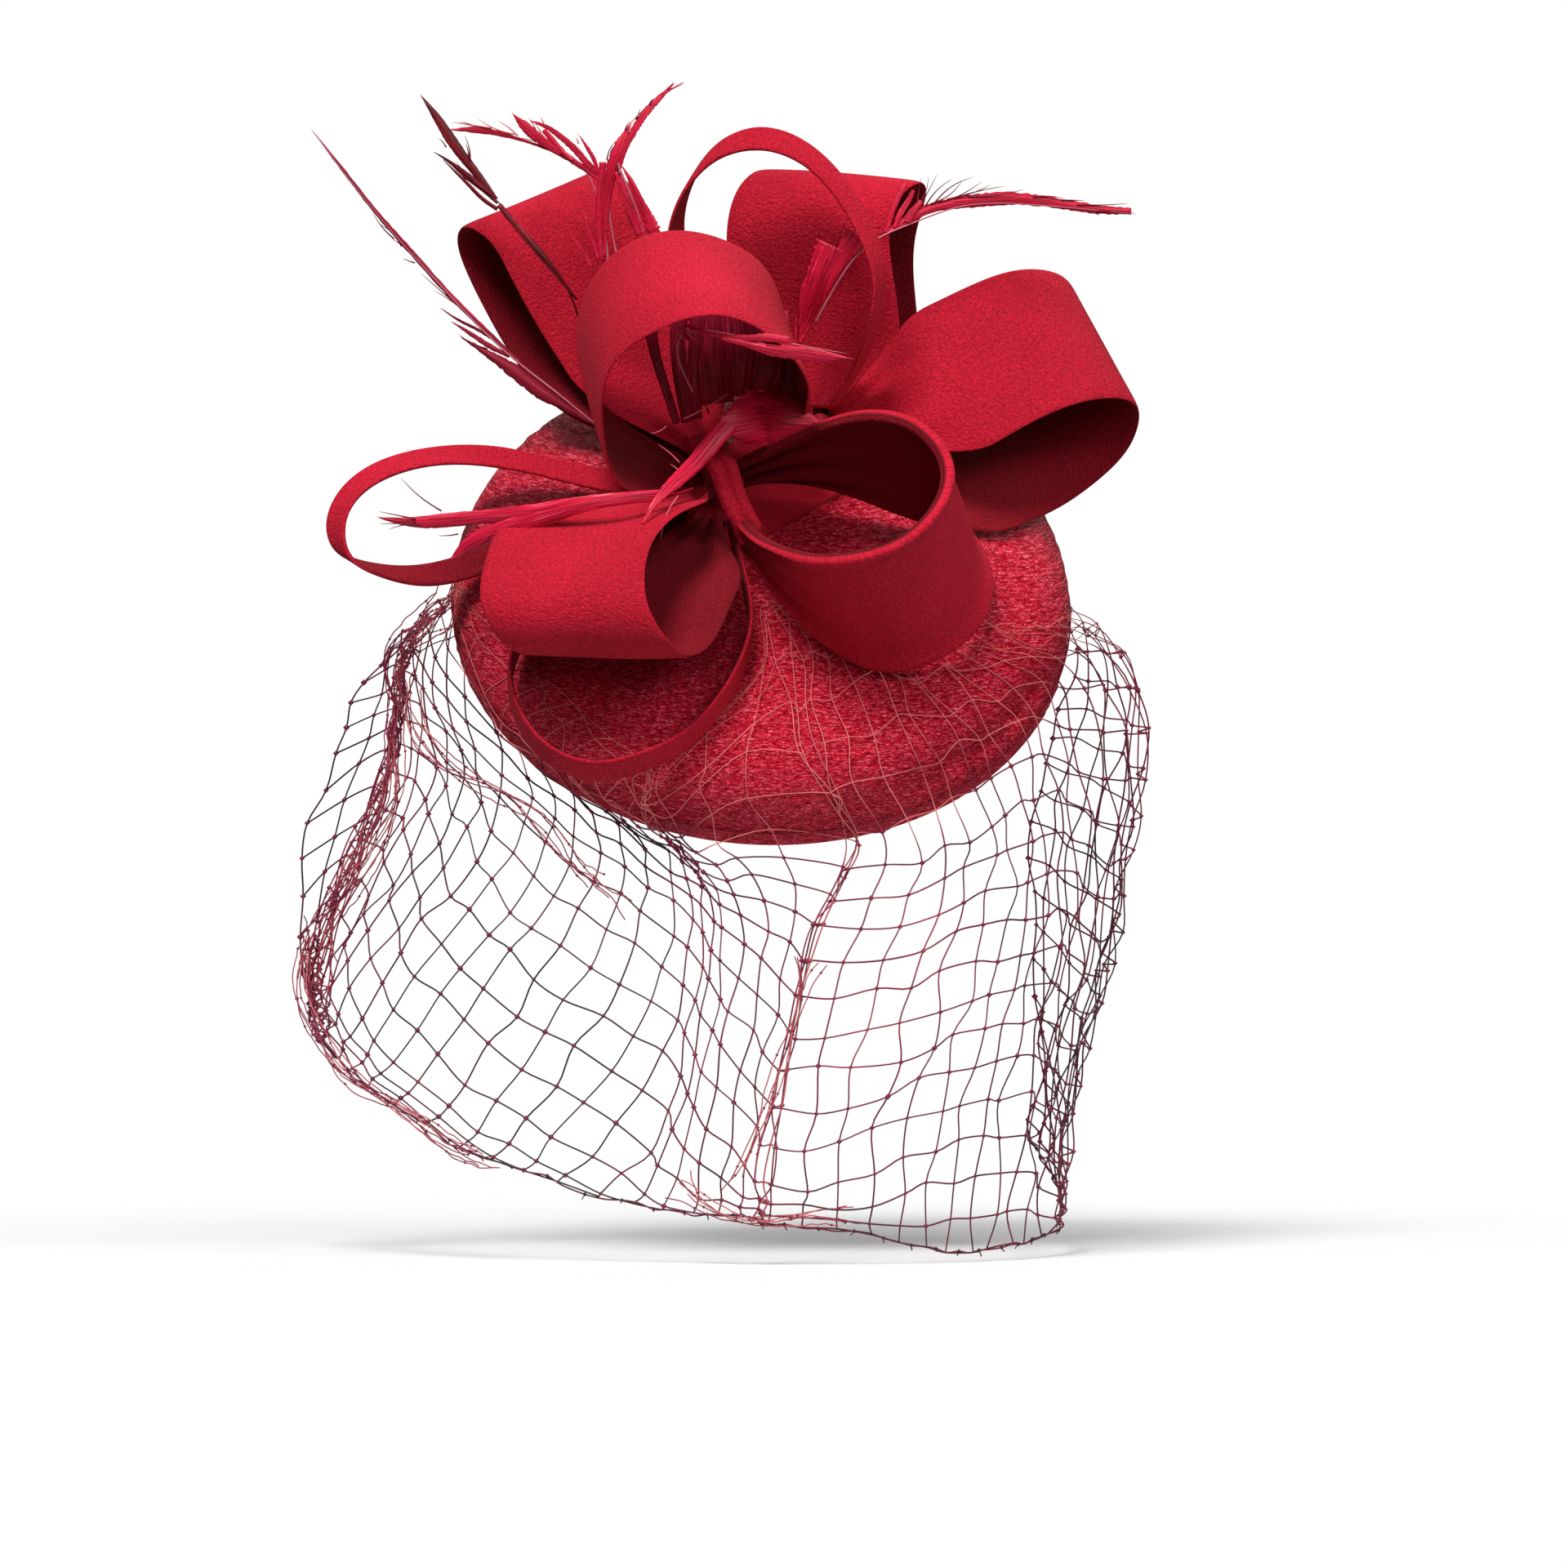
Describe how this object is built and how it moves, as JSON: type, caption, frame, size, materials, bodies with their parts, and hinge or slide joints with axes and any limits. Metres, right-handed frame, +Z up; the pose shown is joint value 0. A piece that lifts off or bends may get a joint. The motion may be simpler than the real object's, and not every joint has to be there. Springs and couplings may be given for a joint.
{
  "type": "fascinator headpiece",
  "caption": "Fascinator: tilted round pillbox base with a bow of ribbon loops, wispy feathers and a birdcage net veil, worn with a hair clip and comb under the crown.",
  "frame": {"origin": "centre of the base's rim plane, the opening that meets the head", "axes": "+Z is up as worn, -Y is the front and +X the viewer's right; the base is tilted 48 degrees forward and 3 degrees to the viewer's right"},
  "size_m": [0.285, 0.1807, 0.381],
  "materials": {
    "ribbon": "matte crepe satin",
    "feather": "soft barbs with a dull sheen",
    "cover_cloth": "crinkled lustrous cloth",
    "buckram": "stiffened open weave",
    "lining_cloth": "satin",
    "petersham": "ribbed ribbon",
    "millinery_wire": "cotton wound steel",
    "felt": "pressed felt",
    "veil": "open diamond net of nylon thread",
    "thread": "sewing thread",
    "spring_wire": "bright spring wire",
    "clip_steel": "polished plated steel",
    "comb_plastic": "glossy"
  },
  "bodies": {
    "hat": {"back_binding_thread": "thread", "buckram_shell": "buckram", "clip_base": "clip_steel", "clip_felt": "felt", "clip_pin": "clip_steel", "clip_spring": "spring_wire", "comb": "comb_plastic", "comb_stitches": "thread", "fabric_cover": "cover_cloth", "feather_curled": "feather", "feather_dark_left": "feather", "feather_front": "feather", "feather_inner": "feather", "feather_long_left": "feather", "feather_low_left": "feather", "feather_right": "feather", "feather_short_left": "feather", "feather_top_left": "feather", "feather_upright": "feather", "front_binding_thread": "thread", "inner_ribbon": "petersham", "knot_wrap": "ribbon", "lining": "lining_cloth", "loop_back_left": "ribbon", "loop_back_right": "ribbon", "loop_centre": "ribbon", "loop_front_left": "ribbon", "loop_front_narrow": "ribbon", "loop_front_right": "ribbon", "loop_left_narrow": "ribbon", "loop_right": "ribbon", "loop_top_narrow": "ribbon", "rim_wire": "millinery_wire", "trim_pad": "felt", "veil_gathering_thread": "thread", "veil_net": "veil", "veil_stitches": "thread"},
    "clip_jaw": {"clip_jaw": "clip_steel"}
  },
  "joints": [
    {"name": "clip_hinge", "type": "hinge", "parent": "hat", "child": "clip_jaw", "pos_m": [-0.0482, -0.0184, 0.01656], "axis": [-0.9989, 0.0344, -0.031], "range_deg": [0, 25], "stiffness_Nm_per_rad": 0.01, "springref_deg": -20.05}
  ]
}
